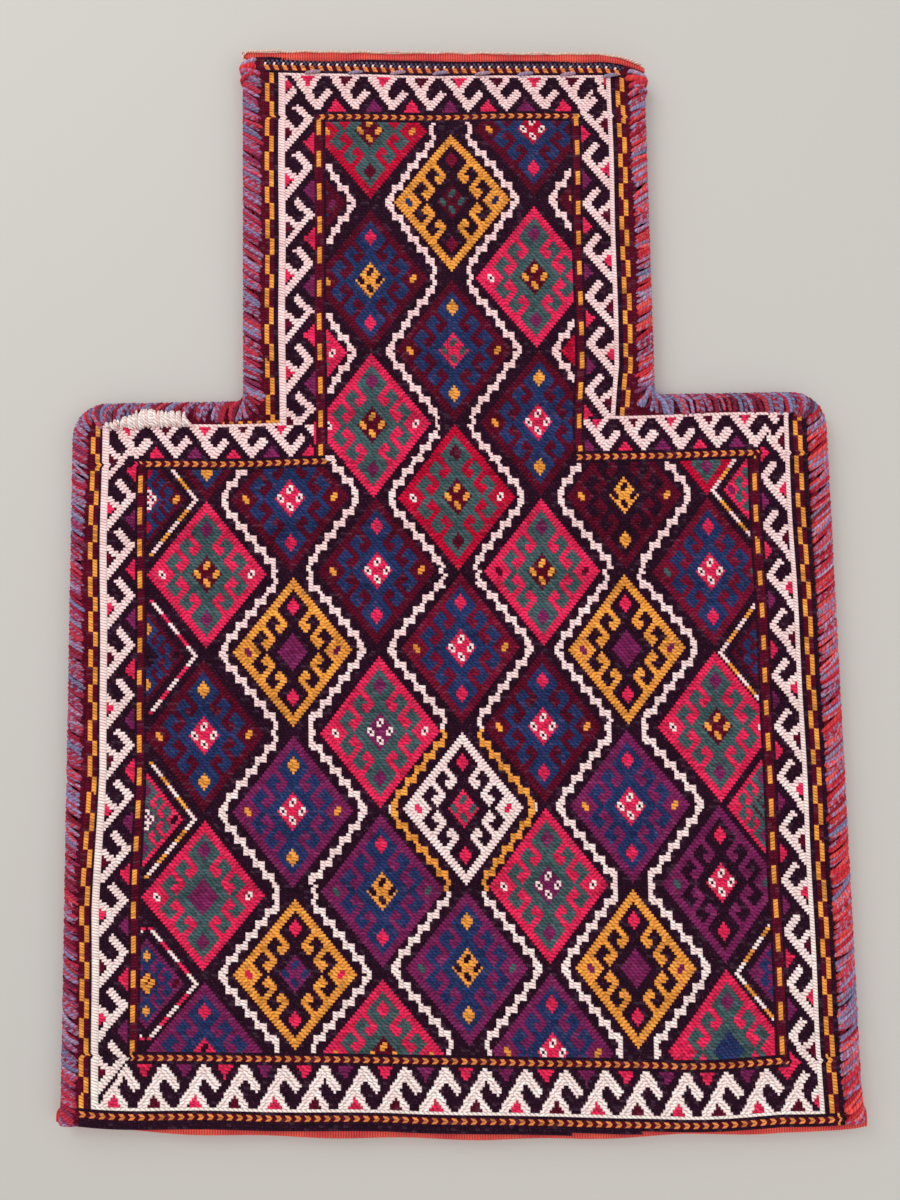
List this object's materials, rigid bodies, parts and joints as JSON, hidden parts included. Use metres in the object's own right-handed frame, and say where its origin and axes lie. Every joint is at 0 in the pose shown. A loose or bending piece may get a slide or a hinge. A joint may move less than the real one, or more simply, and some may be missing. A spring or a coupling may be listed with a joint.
{
  "type": "salt bag",
  "caption": "Flat woven salt bag with a wide body and a narrow open neck that folds down over the body, overcast edges and a hemmed mouth.",
  "frame": {"origin": "under the middle of the bag's box, on the surface that the bag lies on", "axes": "+X to the viewer's right across the front, +Y from the bottom edge to the mouth, +Z out of the patterned front"},
  "size_m": [0.402, 0.565, 0.0114],
  "materials": {
    "patterned_front": "weft-wrapped wool with a hooked lozenge pattern",
    "plain_back": "ribbed plain weave in brick-red wool",
    "brick_hem": "ribbed plain weave in brick-red wool",
    "edge_binding": "overcast in red and blue-grey wool yarn",
    "shoulder_binding": "overcast in red and blue-grey wool yarn",
    "tie_yarn": "thick turns of red wool yarn",
    "ivory_yarn": "whipped ivory wool yarn",
    "tack_yarn": "loose lavender-grey wool yarn"
  },
  "bodies": {
    "bag_body": {"front_panel": "patterned_front", "back_panel": "plain_back", "bottom_fold": "brick_hem", "left_side_binding": "edge_binding", "right_side_binding": "edge_binding", "left_shoulder_binding": "shoulder_binding", "right_shoulder_binding": "shoulder_binding", "ivory_repair_whipping": "ivory_yarn"},
    "neck": {"neck_back_panel": "plain_back", "left_neck_binding": "edge_binding", "right_neck_binding": "edge_binding", "back_mouth_hem": "brick_hem", "left_mouth_tie": "tie_yarn", "right_mouth_tie": "tie_yarn"},
    "neck_front": {"neck_front_panel": "patterned_front", "front_mouth_hem": "brick_hem", "hem_tack_1": "tack_yarn", "hem_tack_2": "tack_yarn", "hem_tack_3": "tack_yarn", "hem_tack_4": "tack_yarn", "hem_tack_5": "tack_yarn", "hem_tack_6": "tack_yarn", "hem_tack_7": "tack_yarn", "hem_tack_8": "tack_yarn"}
  },
  "joints": [
    {"name": "neck_fold", "type": "hinge", "parent": "bag_body", "child": "neck", "pos_m": [0, 0.0908, 0.0103], "axis": [1, 0, 0], "range_deg": [0, 170]},
    {"name": "mouth_open", "type": "hinge", "parent": "neck", "child": "neck_front", "pos_m": [0, 0.1028, 0.01], "axis": [1, 0, 0], "range_deg": [0, 8]}
  ]
}
